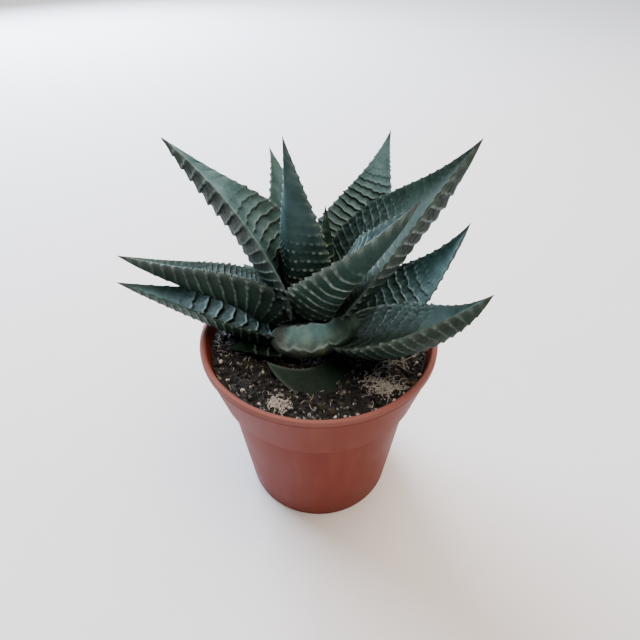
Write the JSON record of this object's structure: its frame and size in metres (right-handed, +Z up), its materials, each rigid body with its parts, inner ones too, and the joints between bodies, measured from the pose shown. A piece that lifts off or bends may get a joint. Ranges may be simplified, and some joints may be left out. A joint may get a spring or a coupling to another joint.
{
  "type": "potted succulent",
  "caption": "Potted haworthia: an upright rosette of thick pointed leaves with raised cross ridges, in a tapered plastic nursery pot of dark soil.",
  "frame": {"origin": "centre of the pot's underside, on the surface that it stands on", "axes": "+Z up along the pot's axis; -Y is the front, where the snapped leaf foot shows"},
  "size_m": [0.1164, 0.1004, 0.1474],
  "materials": {
    "terracotta_plastic": "satin",
    "potting_mix": "matte",
    "stem_skin": "matte",
    "leaf_skin": "satin",
    "scar_skin": "satin"
  },
  "bodies": {
    "root": {"pot": "terracotta_plastic", "soil": "potting_mix", "stem": "stem_skin", "leaf_01": "leaf_skin", "leaf_02": "leaf_skin", "leaf_03": "leaf_skin", "leaf_04": "leaf_skin", "leaf_05": "leaf_skin", "leaf_06": "leaf_skin", "leaf_07": "leaf_skin", "leaf_08": "leaf_skin", "leaf_09": "leaf_skin", "leaf_10": "leaf_skin", "leaf_11": "leaf_skin", "leaf_12": "leaf_skin", "leaf_13": "leaf_skin", "leaf_14": "leaf_skin", "leaf_15": "leaf_skin", "leaf_16": "leaf_skin", "leaf_17": "leaf_skin", "leaf_stub": "scar_skin"}
  },
  "joints": []
}
